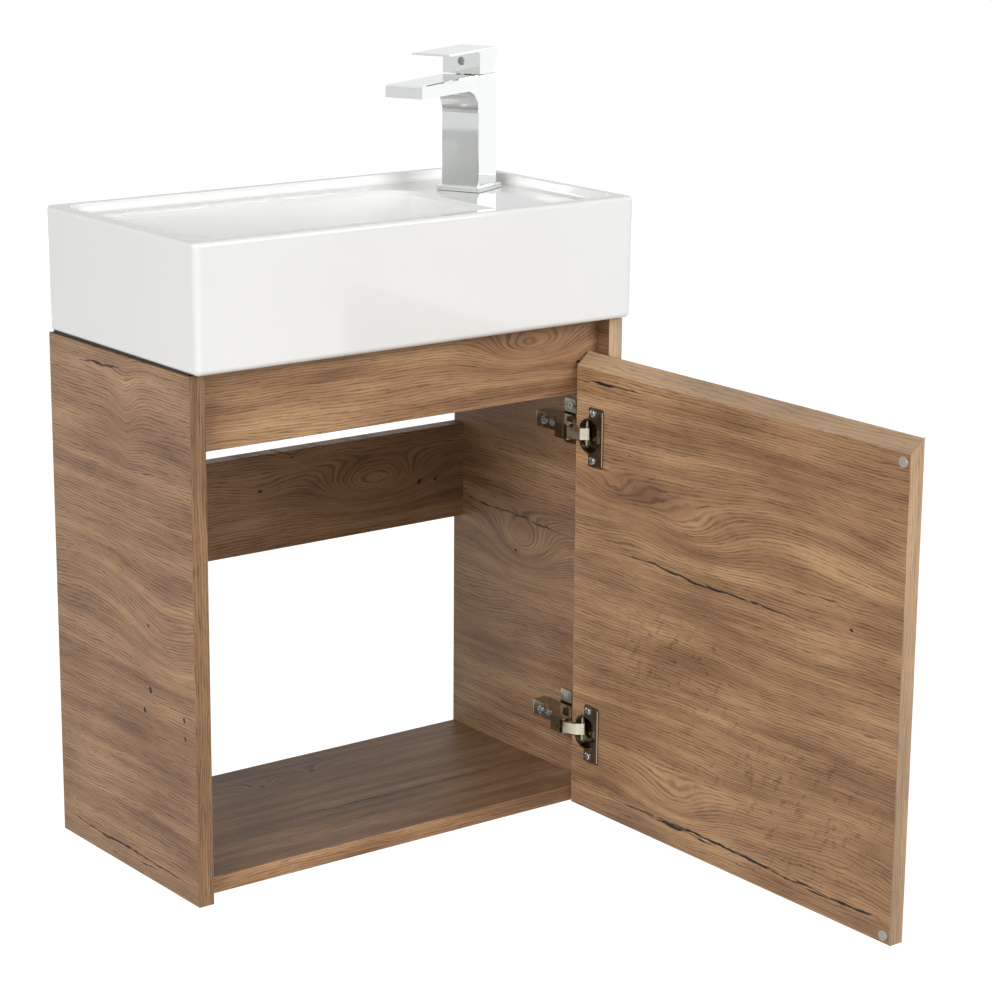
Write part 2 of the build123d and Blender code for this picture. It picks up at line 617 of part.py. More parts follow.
def waste_body():
    """Flanged tube with a cross-bar that guides the plug. The free tail carries the G 1 1/4 thread."""
    z = WASTE_Z + GASKET_T / 2
    nut_foot = bowl_foot_z() - 15
    body = rod(BOWL_X, BOWL_Y, z, z + WASTE_FLANGE_T, WASTE_FLANGE_R)
    body = fillet(body.faces().sort_by(Axis.Z)[-1].edges(), 1.2)
    body += rod(BOWL_X, BOWL_Y, nut_foot, z + 0.5, WASTE_CORE_R)
    body += rod(BOWL_X, BOWL_Y, nut_foot - WASTE_TAIL_L, nut_foot, WASTE_TAIL_R)
    body -= rod(BOWL_X, BOWL_Y, nut_foot - WASTE_TAIL_L - 1, z + 5, WASTE_BORE_R)
    bar_z = z - 22
    bar = block(BOWL_X - WASTE_BORE_R - 1, BOWL_X + WASTE_BORE_R + 1, BOWL_Y - 3, BOWL_Y + 3, bar_z, bar_z + 6)
    body += bar + rod(BOWL_X, BOWL_Y, bar_z, bar_z + 6, WASTE_GUIDE_R + 2)
    return body - rod(BOWL_X, BOWL_Y, bar_z - 1, bar_z + 7, WASTE_GUIDE_R)


def waste_top_gasket():
    ring = rod(BOWL_X, BOWL_Y, WASTE_Z, WASTE_Z + GASKET_T / 2, WASTE_FLANGE_R - 2)
    return ring - rod(BOWL_X, BOWL_Y, WASTE_Z - 1, WASTE_Z + 5, WASTE_CORE_R + 0.2)


def bowl_foot_z():
    """Underside of the bowl, where the lower gasket seals."""
    return DECK_Z - BOWL_DEPTH - BOWL_WALL * 0.9


def waste_under_gasket():
    z = bowl_foot_z()
    ring = Pos(BOWL_X, BOWL_Y, z - 2.5) * Cone(WASTE_FLANGE_R - 5, WASTE_FLANGE_R - 1, 5)
    return ring - rod(BOWL_X, BOWL_Y, z - 10, z + 1, WASTE_CORE_R + 0.1)


def waste_nut():
    """Hexagonal back nut with a flange."""
    z = bowl_foot_z() - 5
    nut = rod(BOWL_X, BOWL_Y, z - 2, z, 29)
    nut += Pos(BOWL_X, BOWL_Y, z - 10) * extrude(RegularPolygon(27, 6), amount=8)
    return nut - rod(BOWL_X, BOWL_Y, z - 11, z + 1, WASTE_CORE_R + 0.05)


def waste_plug():
    """Push-button plug: domed cap on a stem."""
    z = WASTE_Z + GASKET_T / 2 + WASTE_FLANGE_T + WASTE_PLUG_LIFT
    cap = rod(BOWL_X, BOWL_Y, z, z + WASTE_PLUG_T, WASTE_PLUG_R)
    cap = fillet(cap.faces().sort_by(Axis.Z)[-1].edges(), 2.5)
    return cap + rod(BOWL_X, BOWL_Y, z - 34, z, WASTE_STEM_R)


# Tap: drawn at the origin with the spout along +X, then turned and set on the deck.

def on_deck(shape):
    return Pos(TAP_X, TAP_Y, DECK_Z) * Rot(0, 0, TAP_TURN) * shape


def side_view(points, width):
    """Side view outline, X and height, made into a solid across the tap."""
    return extrude(Plane.XZ * Polygon(*points, align=None), amount=width / 2, both=True)


def tap_base_gasket():
    pad = Pos(0, 0, TAP_GASKET_T / 2) * Box(TAP_BASE - 2, TAP_BASE - 2, TAP_GASKET_T)
    return on_deck(pad - rod(0, 0, -1, 1, SHANK_R + 0.5))


def tap_base_plate():
    z0, z1 = TAP_GASKET_T, TAP_GASKET_T + TAP_BASE_T
    plate = block(-TAP_BASE / 2, TAP_BASE / 2, -TAP_BASE / 2, TAP_BASE / 2, z0, z1)
    plate = chamfer(plate.faces().sort_by(Axis.Z)[-1].edges(), 0.7)
    return on_deck(plate - rod(0, 0, -1, 10, SHANK_R + 0.2))


def tap_body():
    """Square body and flat spout in one casting, with the shank that enters the basin."""
    front = TAP_BODY_L / 2
    foot = TAP_GASKET_T + TAP_BASE_T
    tip = front + SPOUT_REACH
    side = [(-front, foot), (front, foot), (front, TAP_BODY_TOP - SPOUT_ROOT_T),
            (tip, TAP_BODY_TOP - SPOUT_TIP_T), (tip, TAP_BODY_TOP), (-front, TAP_BODY_TOP)]
    body = side_view(side, TAP_BODY_W)
    inner = [e for e in body.edges().filter_by(Axis.Y)
             if abs(e.center().X - front) < 0.1 and foot + 1 < e.center().Z < TAP_BODY_TOP - 1]
    body = fillet(inner, SPOUT_FILLET)
    body = fillet(body.edges().filter_by(Axis.Z), 0.8)
    rear = body.edges().filter_by(Axis.Y).group_by(Axis.X)[0].sort_by(Axis.Z)[-1]
    body = fillet(rear, BODY_REAR_R)
    for side in (-1, 1):
        flank = [(front, side * TAP_BODY_W / 2), (tip + 1, side * SPOUT_TIP_W / 2),
                 (tip + 1, side * (TAP_BODY_W / 2 + 1)), (front, side * (TAP_BODY_W / 2 + 1))]
        body -= slab(flank, foot, TAP_BODY_TOP + 1)
    body += rod(0, 0, -SHANK_L, foot, SHANK_R)
    body -= rod(0, 0, TAP_BODY_TOP - CARTRIDGE_L, TAP_BODY_TOP + 1, CARTRIDGE_R + CARTRIDGE_FIT)
    for y in (-INLET_PITCH / 2, INLET_PITCH / 2):
        body -= rod(-INLET_BACK, y, -SHANK_L - 1, INLET_L - SHANK_L, INLET_R)
    body -= rod(STUD_X, 0, -SHANK_L - 1, 14, STUD_R)
    x = tip - AERATOR_IN
    body -= rod(x, 0, TAP_BODY_TOP - SPOUT_TIP_T - 4, TAP_BODY_TOP - 3.5, AERATOR_R + 0.1)
    return on_deck(body)


def tap_aerator():
    """Aerator insert in the underside of the spout, with a ring of holes."""
    x = TAP_BODY_L / 2 + SPOUT_REACH - AERATOR_IN
    z1 = TAP_BODY_TOP - 3.6
    z0 = TAP_BODY_TOP - SPOUT_TIP_T
    insert = rod(x, 0, z0, z1, AERATOR_R) - rod(x, 0, z0 - 1, z0 + 1.2, AERATOR_R - 1.6)
    for k in range(8):
        a = radians(45 * k)
        insert -= rod(x + 6 * cos(a), 6 * sin(a), z0 - 1, z0 + 4, 1.1)
    return on_deck(insert)


def tap_cartridge():
    """Ceramic-disc cartridge, with a well for the spindle."""
    z1 = TAP_BODY_TOP - 6
    body = rod(0, 0, TAP_BODY_TOP - CARTRIDGE_L, z1, CARTRIDGE_R)
    return on_deck(body - rod(0, 0, z1 - 12, z1 + 1, SPINDLE_R + 0.3))


def tap_cartridge_nut():
    """Threaded ring that holds the cartridge down, flush with the body's top."""
    z0 = TAP_BODY_TOP - 6
    ring = rod(0, 0, z0, TAP_BODY_TOP, CARTRIDGE_R)
    return on_deck(ring - rod(0, 0, z0 - 1, TAP_BODY_TOP + 1, SPINDLE_R + 0.3))


def tap_spindle():
    """Turret that turns with the handle and carries its lift pin."""
    z0 = TAP_BODY_TOP - 17
    turret = rod(0, 0, z0, TAP_BODY_TOP + 0.3, SPINDLE_R)
    cheek = block(LIFT_X - 3, 3, -4, 4, TAP_BODY_TOP, LIFT_H + 3)
    cheek = fillet(cheek.edges().filter_by(Axis.Y).group_by(Axis.Z)[-1], 2.5)
    pin = Pos(LIFT_X, 0, LIFT_H) * Rot(90, 0, 0) * Cylinder(1.5, 14)
    return on_deck(turret + cheek + pin)


def handle_outline():
    """Side view of the handle block and its lever plate, the rear lower corner swept away."""
    low, high = TAP_BODY_TOP + HANDLE_GAP, HANDLE_TOP
    start = -3.5
    sweep = []
    for k in range(1, 9):
        a = radians(90 * k / 9)
        sweep.append((start - (HANDLE_REAR + start) * sin(a), high - (high - low) * cos(a)))
    rear = [(-HANDLE_REAR, high), (-HANDLE_REAR, high + LEVER_T)]
    front = [(LEVER_TIP, high + LEVER_T), (LEVER_TIP, high + 0.4), (HANDLE_FRONT + 6, high),
             (HANDLE_FRONT, high - 1.5), (HANDLE_FRONT, low)]
    return [(start, low)] + sweep + rear + front


def tap_handle():
    """Block and lever in one casting, hollowed for the spindle."""
    handle = side_view(handle_outline(), HANDLE_W)
    handle = fillet(handle.faces().sort_by(Axis.Z)[-1].edges().filter_by(Axis.X), 0.6)
    low = TAP_BODY_TOP + HANDLE_GAP
    handle -= block(LIFT_X - 6.5, 9, -4.4, 4.4, low - 1, LIFT_H + 7)
    handle -= block(LIFT_X - 6.5, 12, -10, 10, low - 1, low + 1.2)
    handle -= Pos(LIFT_X, 0, LIFT_H) * Rot(90, 0, 0) * Cylinder(1.8, 15)
    plug_z = (low + HANDLE_TOP) / 2 + 1
    handle -= Pos(HANDLE_FRONT, 0, plug_z) * Rot(0, 90, 0) * Cylinder(4.1, 5)
    return on_deck(handle)


def tap_handle_plug():
    """Cover of the set screw in the handle's front face."""
    plug_z = (TAP_BODY_TOP + HANDLE_GAP + HANDLE_TOP) / 2 + 1
    plug = Pos(HANDLE_FRONT - 1.1, 0, plug_z) * Rot(0, 90, 0) * Cylinder(4.0, 2.6)
    plug = fillet(plug.faces().sort_by(Axis.X)[-1].edges(), 0.6)
    return on_deck(plug)


def tap_stud():
    return on_deck(rod(STUD_X, 0, -STUD_L, 13.5, STUD_R - 0.05))


def tap_clamp(z0, z1, r):
    """Horseshoe under the deck, open around the inlets."""
    shoe = rod(0, 0, z0, z1, r)
    slot = INLET_PITCH / 2 + INLET_R + 0.5
    shoe -= block(-r - 1, 1, -slot, slot, z0 - 1, z1 + 1)
    return on_deck(shoe - rod(STUD_X, 0, z0 - 1, z1 + 1, STUD_R + 0.2))


def tap_clamp_nut():
    z1 = -DECK_T - 2 * GASKET_T
    nut = Pos(STUD_X, 0, z1 - 7) * extrude(RegularPolygon(7, 6), amount=7)
    return on_deck(nut - rod(STUD_X, 0, z1 - 8, z1 + 1, STUD_R))


def all_pieces():
    """Every piece by name."""
    pieces = {
        "side_panel_left": side_panel(-1), "side_panel_right": side_panel(1),
        "side_band_left": side_band(-1), "side_band_right": side_band(1),
        "bottom_panel": bottom_panel(), "bottom_band": bottom_band(),
        "front_rail": front_rail(), "front_rail_band": front_rail_band(),
        "rear_rail": rear_rail(), "dowels_left": dowels(-1), "dowels_right": dowels(1),
        "basin": basin(), "basin_bead_left": basin_bead(-1), "basin_bead_right": basin_bead(1),
        "waste_body": waste_body(), "waste_top_gasket": waste_top_gasket(),
        "waste_under_gasket": waste_under_gasket(), "waste_nut": waste_nut(),
        "waste_plug": waste_plug(),
        "tap_base_gasket": tap_base_gasket(), "tap_base_plate": tap_base_plate(),
        "tap_body": tap_body(), "tap_aerator": tap_aerator(), "tap_cartridge": tap_cartridge(),
        "tap_cartridge_nut": tap_cartridge_nut(), "tap_spindle": tap_spindle(),
        "tap_handle": tap_handle(), "tap_handle_plug": tap_handle_plug(), "tap_stud": tap_stud(),
        "tap_clamp_gasket": tap_clamp(-DECK_T - GASKET_T, -DECK_T, 24),
        "tap_clamp_plate": tap_clamp(-DECK_T - 2 * GASKET_T, -DECK_T - GASKET_T, 23),
        "tap_clamp_nut": tap_clamp_nut(),
        "door_panel": open_door(door_panel()),
        "door_band_hinge": open_door(door_end_band(DOOR_EDGE_X - BAND, DOOR_EDGE_X, DOOR_EDGE_X)),
        "door_band_free": open_door(door_end_band(DOOR_EDGE_X - DOOR_W, DOOR_EDGE_X - DOOR_W + BAND,
                                                  DOOR_EDGE_X - DOOR_W)),
        "door_band_bottom": open_door(door_bottom_band()),
        "door_bumpers": open_door(door_bumpers()),
        "hinge_arm_pins": arm_pins(), "hinge_cup_pins": open_door(cup_pins()),
    }
    for x, name in zip(hanger_xs(), ("left", "right")):
        pieces["hanger_plate_" + name] = hanger_plate(x)
        pieces["hanger_screws_" + name] = hanger_screws(x)
    for name, z in HINGE_ZS.items():
        pieces["hinge_plate_" + name] = hinge_plate(z)
        pieces["hinge_plate_screws_" + name] = plate_screws(z)
        pieces["hinge_arm_" + name] = hinge_arm(z)
        pieces["hinge_adjusters_" + name] = adjusters(z)
        pieces["hinge_link_" + name] = hinge_link(z)
        pieces["hinge_cup_" + name] = open_door(hinge_cup(z))
        pieces["hinge_cup_screws_" + name] = open_door(cup_screws(z))
    return pieces


os.makedirs("parts", exist_ok=True)
for name, shape in all_pieces().items():
    export_step(shape, "parts/" + name + ".step")
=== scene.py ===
import math

import bmesh
import bpy
from mathutils import Matrix, Vector

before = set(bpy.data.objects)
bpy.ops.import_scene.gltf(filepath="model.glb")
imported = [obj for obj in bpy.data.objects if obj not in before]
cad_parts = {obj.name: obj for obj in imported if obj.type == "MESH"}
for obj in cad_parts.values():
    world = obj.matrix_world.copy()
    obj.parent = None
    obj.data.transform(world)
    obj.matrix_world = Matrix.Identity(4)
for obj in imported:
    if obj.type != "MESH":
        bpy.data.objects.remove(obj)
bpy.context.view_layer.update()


# Camera: a long lens, left of the cabinet and a little above it, rolled by under half a degree.
yaw, pitch, roll = math.radians(37.254), math.radians(14.525), math.radians(0.444)
forward = Vector((math.sin(yaw) * math.cos(pitch), math.cos(yaw) * math.cos(pitch), -math.sin(pitch)))
level = Vector((math.cos(yaw), -math.sin(yaw), 0))
upright = level.cross(forward)
right = level * math.cos(roll) + upright * math.sin(roll)
above = upright * math.cos(roll) - level * math.sin(roll)
camera = bpy.data.objects.new("camera", bpy.data.cameras.new("camera"))
bpy.context.scene.collection.objects.link(camera)
camera.data.sensor_width = 36.0
camera.data.lens = 103.454
camera.data.clip_start, camera.data.clip_end = 0.1, 60.0
turned = Matrix((right, above, -forward)).transposed().to_4x4()
camera.matrix_world = Matrix.Translation((-1.5465, -2.4134, 0.7366)) @ turned
bpy.context.scene.camera = camera
bpy.context.scene.view_settings.view_transform = "Standard"


def linear(code):
    """A hex sRGB colour as linear RGBA."""
    values = [int(code[i:i + 2], 16) / 255 for i in (1, 3, 5)]
    return [v / 12.92 if v < 0.04045 else ((v + 0.055) / 1.055) ** 2.4 for v in values] + [1.0]


def add(tree, kind, settings=None, **inputs):
    """Add a node. Settings are its properties; inputs are values or the sockets that feed it."""
    node = tree.nodes.new(kind)
    for name, value in (settings or {}).items():
        setattr(node, name, value)
    for name, value in inputs.items():
        key = int(name[1:]) if name[0] == "i" and name[1:].isdigit() else name.replace("_", " ")
        if isinstance(value, bpy.types.NodeSocket):
            tree.links.new(value, node.inputs[key])
        else:
            node.inputs[key].default_value = value
    return node


def calc(tree, operation, *values, clamp=False):
    """Math node on numbers or sockets."""
    inputs = {"i%d" % n: v for n, v in enumerate(values)}
    return add(tree, "ShaderNodeMath", {"operation": operation, "use_clamp": clamp}, **inputs).outputs[0]


def blank(name):
    """An empty node material with its shader wired to the output."""
    made = bpy.data.materials.new(name)
    made.use_nodes = True
    tree = made.node_tree
    tree.nodes.clear()
    shader = add(tree, "ShaderNodeBsdfPrincipled")
    output = add(tree, "ShaderNodeOutputMaterial")
    tree.links.new(shader.outputs[0], output.inputs[0])
    return made, tree, shader


def wear(node_names, material):
    """Put a material on CAD nodes."""
    for name in node_names:
        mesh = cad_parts[name].data
        mesh.materials.clear()
        mesh.materials.append(material)


# World: even studio air. Camera and mirror rays see a white room with one pale grey wall.
world = bpy.data.worlds.new("studio")
bpy.context.scene.world = world
world.use_nodes = True
tree = world.node_tree
tree.nodes.clear()
path = add(tree, "ShaderNodeLightPath")
air = add(tree, "ShaderNodeBackground", Color=linear("#ffffff"), Strength=0.16)
white = add(tree, "ShaderNodeBackground", Color=linear("#ffffff"), Strength=1.0)
heading = add(tree, "ShaderNodeTexCoord")
axes = add(tree, "ShaderNodeSeparateXYZ", Vector=heading.outputs["Generated"])
to_wall = calc(tree, "ADD", calc(tree, "MULTIPLY", axes.outputs[0], -0.9),
               calc(tree, "MULTIPLY", axes.outputs[1], -0.44))
wall = add(tree, "ShaderNodeMapRange", Value=to_wall, From_Min=0.55, From_Max=0.98,
           To_Min=0.0, To_Max=1.0)
tone = add(tree, "ShaderNodeMix", {"data_type": "RGBA"}, Factor=wall.outputs[0],
           A=linear("#fbfcfc"), B=linear("#d9dfd5"))
room = add(tree, "ShaderNodeBackground", Color=tone.outputs["Result"], Strength=0.92)
mirrored = add(tree, "ShaderNodeMixShader", Fac=path.outputs["Is Glossy Ray"],
               i1=air.outputs[0], i2=room.outputs[0])
through = add(tree, "ShaderNodeMixShader", Fac=path.outputs["Is Transmission Ray"],
              i1=mirrored.outputs[0], i2=white.outputs[0])
seen = add(tree, "ShaderNodeMixShader", Fac=path.outputs["Is Camera Ray"],
           i1=through.outputs[0], i2=white.outputs[0])
tree.links.new(seen.outputs[0], add(tree, "ShaderNodeOutputWorld").inputs[0])


def softbox(name, place, aim, size, power, colour):
    """A square studio light aimed at a point."""
    light = bpy.data.lights.new(name, "AREA")
    light.shape, light.size, light.energy, light.color = "SQUARE", size, power, colour
    lamp = bpy.data.objects.new(name, light)
    bpy.context.scene.collection.objects.link(lamp)
    lamp.location = place
    lamp.rotation_mode = "QUATERNION"
    lamp.rotation_quaternion = (Vector(aim) - Vector(place)).to_track_quat("-Z", "Y")


# Lights: two big softboxes in front, left and right, and weak ones at the right and behind.
softbox("key_light", (-3.0, -1.7, 1.25), (0, -0.2, 0), 1.8, 90, (1.0, 0.99, 0.98))
softbox("front_light", (1.3, -3.2, 1.35), (0, -0.2, 0), 1.7, 64, (1.0, 1.0, 1.0))
softbox("right_light", (3.0, -0.6, 1.2), (0, -0.2, 0.2), 1.8, 16, (1.0, 1.0, 1.0))
softbox("rear_light", (-0.6, 3.1, 0.3), (0, -0.2, 0.1), 1.8, 24, (1.0, 1.0, 1.0))


# Floor: the bathroom floor 850 mm below the basin's rim, white, with the cabinet's soft shadow.
bpy.ops.mesh.primitive_plane_add(size=24, location=(0, 0, -0.528))
floor = bpy.context.object
floor.name = "floor"
made, tree, shader = blank("pale_floor")
shader.inputs["Base Color"].default_value = linear("#8f8f8f")
shader.inputs["Roughness"].default_value = 0.9
path = add(tree, "ShaderNodeLightPath")
direct = calc(tree, "MAXIMUM", path.outputs["Is Camera Ray"], path.outputs["Is Transmission Ray"])
spot = add(tree, "ShaderNodeSeparateXYZ", Vector=add(tree, "ShaderNodeTexCoord").outputs["Object"])
# Painted reflection: the floor also glows to mirror rays, dimmer far to the left.
mirror_glow = add(tree, "ShaderNodeMapRange", Value=spot.outputs["X"], From_Min=-3.0, From_Max=-0.5,
            To_Min=0.68, To_Max=1.0).outputs[0]
glow = add(tree, "ShaderNodeEmission", Color=linear("#ffffff"),
           Strength=calc(tree, "ADD", calc(tree, "MULTIPLY", direct, 0.92),
                         calc(tree, "MULTIPLY", path.outputs["Is Glossy Ray"], mirror_glow)))
lit = add(tree, "ShaderNodeAddShader", i0=shader.outputs[0], i1=glow.outputs[0])
tree.links.new(lit.outputs[0], tree.nodes["Material Output"].inputs[0])
floor.data.materials.append(made)


# Oak decor: printed and embossed paper on the boards. The print is a field of growth rings
# drawn out along the grain, with fine dark lines 3 to 4 mm apart, pores, knots and black checks.
def oak_group():
    """Node group: millimetres along and across the grain in, colour and relief height out."""
    group = bpy.data.node_groups.new("oak_decor", "ShaderNodeTree")
    for name in ("Along", "Across", "Rise", "Seed", "Check", "Fleck", "Wash", "Light"):
        group.interface.new_socket(name, in_out="INPUT", socket_type="NodeSocketFloat")
    group.interface.new_socket("Color", in_out="OUTPUT", socket_type="NodeSocketColor")
    group.interface.new_socket("Height", in_out="OUTPUT", socket_type="NodeSocketFloat")
    given = add(group, "NodeGroupInput").outputs

    def noise(along, across, long_mm, wide_mm, detail, rough=0.5, shift=0.0):
        vector = add(group, "ShaderNodeCombineXYZ", X=calc(group, "DIVIDE", along, long_mm),
                     Y=calc(group, "DIVIDE", across, wide_mm),
                     Z=calc(group, "ADD", given["Seed"], shift))
        return add(group, "ShaderNodeTexNoise", Vector=vector.outputs[0], Scale=1.0,
                   Detail=detail, Roughness=rough).outputs["Fac"]

    def centred(value, amount):
        return calc(group, "MULTIPLY", calc(group, "SUBTRACT", value, 0.5), amount)

    along, across = given["Along"], given["Across"]
    sway = centred(noise(along, across, 320, 90, 1.0), 18)
    ripple = centred(noise(along, across, 70, 22, 2.0, 0.5, 3.1), 4.0)
    field = calc(group, "ADD", across, calc(group, "ADD", sway, calc(group, "ADD", ripple, given["Rise"])))
    bands = noise(along, field, 340, 13, 4.0, 0.62, 7.7)
    slip = centred(noise(along, field, 38, 7.0, 2.0, 0.6, 11.3), 11.0)
    turns = calc(group, "ADD", calc(group, "MULTIPLY", field, 2 * math.pi / 3.0), slip)
    wave = calc(group, "MULTIPLY_ADD", calc(group, "SINE", turns), 0.5, 0.5)
    patch = noise(along, field, 30, 4.5, 2.0, 0.5, 29.1)
    fibre = noise(along, field, 15, 1.5, 3.0, 0.7, 17.9)
    cloud = noise(along, across, 130, 48, 2.0, 0.5, 23.5)
    tone = calc(group, "ADD", bands, centred(cloud, 0.75))
    ramp = add(group, "ShaderNodeValToRGB", Fac=tone)
    stops = ramp.color_ramp
    stops.elements[0].position, stops.elements[0].color = 0.22, linear("#72533a")
    stops.elements[1].position, stops.elements[1].color = 0.78, linear("#b08d68")
    stops.elements.new(0.50).color = linear("#937152")
    depth = add(group, "ShaderNodeMapRange", {"interpolation_type": "SMOOTHSTEP"}, Value=patch,
                From_Min=0.34, From_Max=0.64, To_Min=0.30, To_Max=1.0).outputs[0]
    groove = add(group, "ShaderNodeMapRange", {"interpolation_type": "SMOOTHSTEP"}, Value=wave,
                 From_Min=0.0, From_Max=0.62, To_Min=1.0, To_Max=0.0).outputs[0]
    line = calc(group, "MULTIPLY", groove, depth)
    pore = add(group, "ShaderNodeMapRange", {"interpolation_type": "SMOOTHSTEP"}, Value=fibre,
               From_Min=0.30, From_Max=0.46, To_Min=1.0, To_Max=0.0).outputs[0]
    shade = calc(group, "SUBTRACT", 1.28, calc(group, "ADD", calc(group, "MULTIPLY", line, 0.60),
                                               calc(group, "MULTIPLY", pore, 0.42)))
    shade = calc(group, "SUBTRACT", shade, calc(group, "MULTIPLY", given["Fleck"], 0.32))
    # Painted light and shade: the light factor brightens boards that face the lamps and darkens boards inside the
    # carcass.
    shade = calc(group, "MULTIPLY", shade, given["Light"])
    grained = add(group, "ShaderNodeVectorMath", {"operation": "SCALE"}, i0=ramp.outputs[0], Scale=shade)
    # Painted highlight: a pale mix over the print, for edges and the bevel that catch the light at a grazing angle.
    glared = add(group, "ShaderNodeMix", {"data_type": "RGBA"}, Factor=given["Wash"],
                 A=grained.outputs[0], B=linear("#cfc0a6"))
    checked = add(group, "ShaderNodeMix", {"data_type": "RGBA"}, Factor=given["Check"],
                  A=glared.outputs["Result"], B=linear("#1e1a19"))
    height = calc(group, "SUBTRACT", calc(group, "SUBTRACT", 1.0, calc(group, "MULTIPLY", line, 0.5)),
                  calc(group, "ADD", calc(group, "MULTIPLY", pore, 0.4), given["Check"]))
    leave = add(group, "NodeGroupOutput")
    group.links.new(checked.outputs["Result"], leave.inputs["Color"])
    group.links.new(height, leave.inputs["Height"])
    return group


oak_decor = oak_group()


def oak(name, along, across, seed, knots=(), checks=(), flecks=(), wash=0.0, light=1.0):
    """Laminate of one board. Along and across name the axes of its print. A knot is (along,
    across, length, width, rise), a check is (along, across, half length, half width, slope) and
    a patch of ray flecks is (along, across, length, width). The pale mix over the whole print is a painted
    highlight, and light scales the print's brightness as painted light and shade."""
    made, tree, shader = blank(name)
    place = add(tree, "ShaderNodeSeparateXYZ", Vector=add(tree, "ShaderNodeTexCoord").outputs["Object"])
    u = calc(tree, "MULTIPLY", place.outputs["XYZ".index(along)], 1000)
    v = calc(tree, "MULTIPLY", place.outputs["XYZ".index(across)], 1000)
    rise = 0.0
    for ku, kv, long_mm, wide_mm, high in knots:
        du = calc(tree, "DIVIDE", calc(tree, "SUBTRACT", u, ku), long_mm)
        dv = calc(tree, "DIVIDE", calc(tree, "SUBTRACT", v, kv), wide_mm)
        far = calc(tree, "ADD", calc(tree, "MULTIPLY", du, du), calc(tree, "MULTIPLY", dv, dv))
        bump = calc(tree, "MULTIPLY", calc(tree, "EXPONENT", calc(tree, "MULTIPLY", far, -1)), high)
        rise = calc(tree, "ADD", rise, bump)
    split = 0.0
    if checks:
        flow = add(tree, "ShaderNodeCombineXYZ", X=calc(tree, "DIVIDE", u, 55.0), Y=calc(tree, "DIVIDE", v, 90.0),
                   Z=seed)
        wander = add(tree, "ShaderNodeTexNoise", Vector=flow.outputs[0], Scale=1.0, Detail=3.0).outputs["Fac"]
        wander = calc(tree, "MULTIPLY", calc(tree, "SUBTRACT", wander, 0.5), 12.0)
        grit = add(tree, "ShaderNodeCombineXYZ", X=calc(tree, "DIVIDE", u, 14.0), Y=calc(tree, "DIVIDE", v, 3.0), Z=seed)
        ragged = add(tree, "ShaderNodeTexNoise", Vector=grit.outputs[0], Scale=1.0, Detail=3.0).outputs["Fac"]
        ragged = calc(tree, "MULTIPLY", calc(tree, "SUBTRACT", ragged, 0.2), 1.7)
    for cu, cv, half_long, half_wide, slope in checks:
        du = calc(tree, "SUBTRACT", u, cu)
        line = calc(tree, "MULTIPLY", du, slope)
        if half_long > 8:
            line = calc(tree, "ADD", line, wander)
        off = calc(tree, "ABSOLUTE", calc(tree, "SUBTRACT", calc(tree, "SUBTRACT", v, cv), line))
        along_it = calc(tree, "ABSOLUTE", calc(tree, "DIVIDE", du, half_long))
        taper = calc(tree, "SUBTRACT", 1.0, calc(tree, "POWER", along_it, 2.0), clamp=True)
        width = calc(tree, "MULTIPLY", calc(tree, "MULTIPLY", taper, ragged), 2.0 * half_wide)
        mark = calc(tree, "SUBTRACT", calc(tree, "MULTIPLY", width, 1.5), calc(tree, "MULTIPLY", off, 1.1), clamp=True)
        split = calc(tree, "MAXIMUM", split, mark)
    rays = 0.0
    for fu, fv, long_mm, wide_mm in flecks:
        du = calc(tree, "DIVIDE", calc(tree, "SUBTRACT", u, fu), long_mm)
        dv = calc(tree, "DIVIDE", calc(tree, "SUBTRACT", v, fv), wide_mm)
        far = calc(tree, "ADD", calc(tree, "MULTIPLY", du, du), calc(tree, "MULTIPLY", dv, dv))
        lean = calc(tree, "MULTIPLY_ADD", v, 0.45, u)
        grid = add(tree, "ShaderNodeCombineXYZ", X=calc(tree, "DIVIDE", lean, 8.0),
                   Y=calc(tree, "DIVIDE", v, 17.0), Z=seed + 2.2)
        spread = add(tree, "ShaderNodeTexNoise", Vector=grid.outputs[0], Scale=1.0, Detail=2.0, Roughness=0.6)
        cut = calc(tree, "MULTIPLY", calc(tree, "SUBTRACT", spread.outputs["Fac"], 0.60), 22.0, clamp=True)
        rays = calc(tree, "MAXIMUM", rays, calc(tree, "MULTIPLY", cut, calc(tree, "SUBTRACT", 1.0, far, clamp=True)))
    print_ = add(tree, "ShaderNodeGroup", {"node_tree": oak_decor}, Along=u, Across=v, Rise=rise,
                 Seed=seed, Check=split, Fleck=rays, Wash=wash, Light=light)
    relief = add(tree, "ShaderNodeBump", Height=print_.outputs["Height"], Distance=0.0002, Strength=0.6)
    shader.inputs["Specular IOR Level"].default_value = 0.3
    tree.links.new(print_.outputs["Color"], shader.inputs["Base Color"])
    tree.links.new(relief.outputs[0], shader.inputs["Normal"])
    gloss = add(tree, "ShaderNodeMapRange", Value=print_.outputs["Height"], From_Min=0.0, From_Max=1.0,
                To_Min=0.62, To_Max=0.48)
    tree.links.new(gloss.outputs[0], shader.inputs["Roughness"])
    return made


